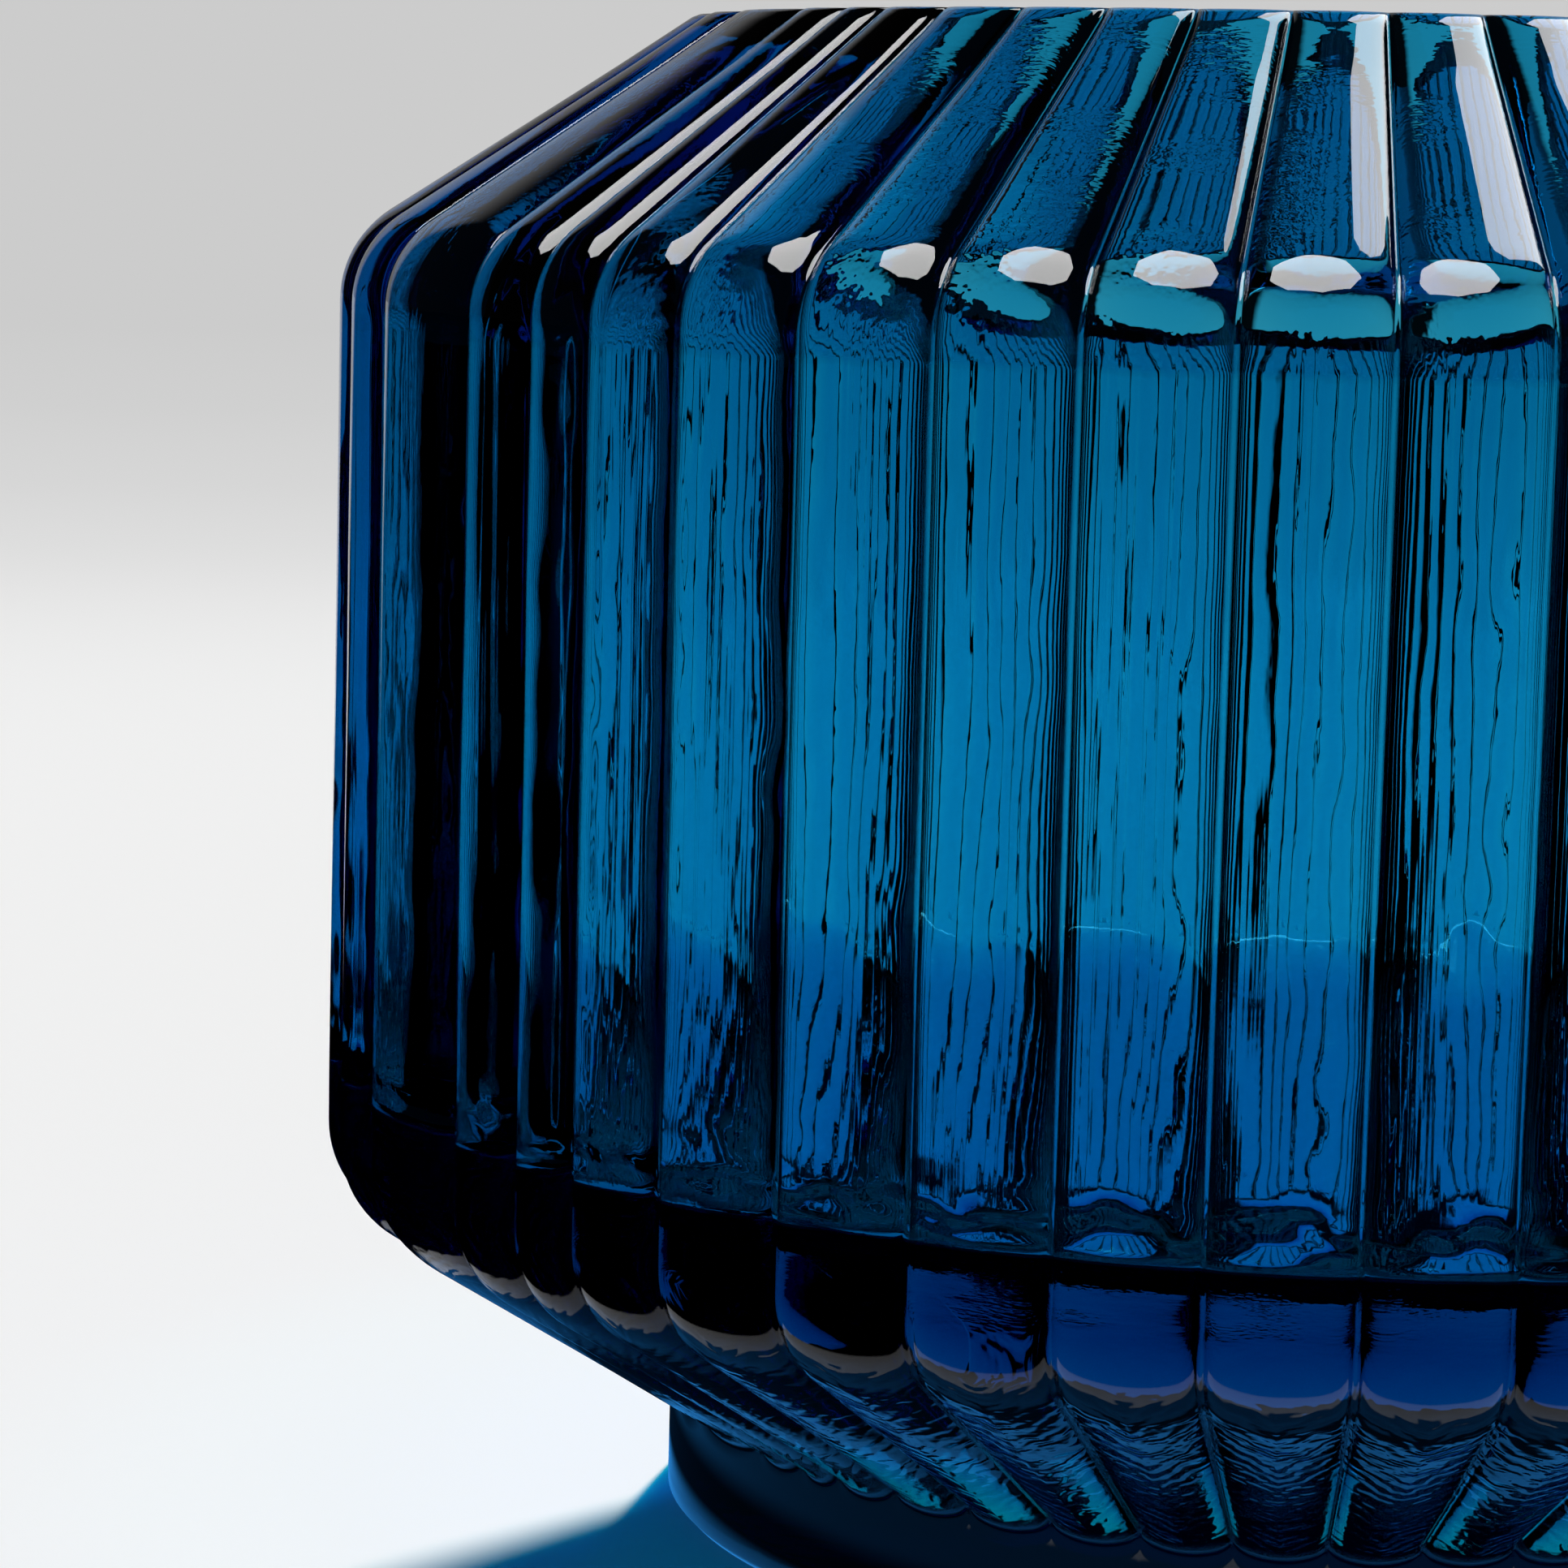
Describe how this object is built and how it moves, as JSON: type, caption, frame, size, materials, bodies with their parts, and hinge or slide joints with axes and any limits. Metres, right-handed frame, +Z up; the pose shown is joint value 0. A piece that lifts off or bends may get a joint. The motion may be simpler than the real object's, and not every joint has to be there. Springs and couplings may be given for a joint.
{
  "type": "glass vase",
  "caption": "Squat round vase of thick blue glass with upright convex ribs, sloping shoulder, flat ground mouth and a smooth low foot.",
  "frame": {"origin": "centre of the flat underside of the foot, on the surface the vase stands on", "axes": "+Z up along the axis of the vase; a crease between two ribs lies on -Y, the front; +X to the right seen from the front"},
  "size_m": [0.0798, 0.0798, 0.0596],
  "materials": {
    "blue_glass": "fire-polished clear glass coloured deep blue through its mass"
  },
  "bodies": {
    "root": {"ribbed_body": "blue_glass", "heavy_floor": "blue_glass", "foot": "blue_glass"}
  },
  "joints": []
}
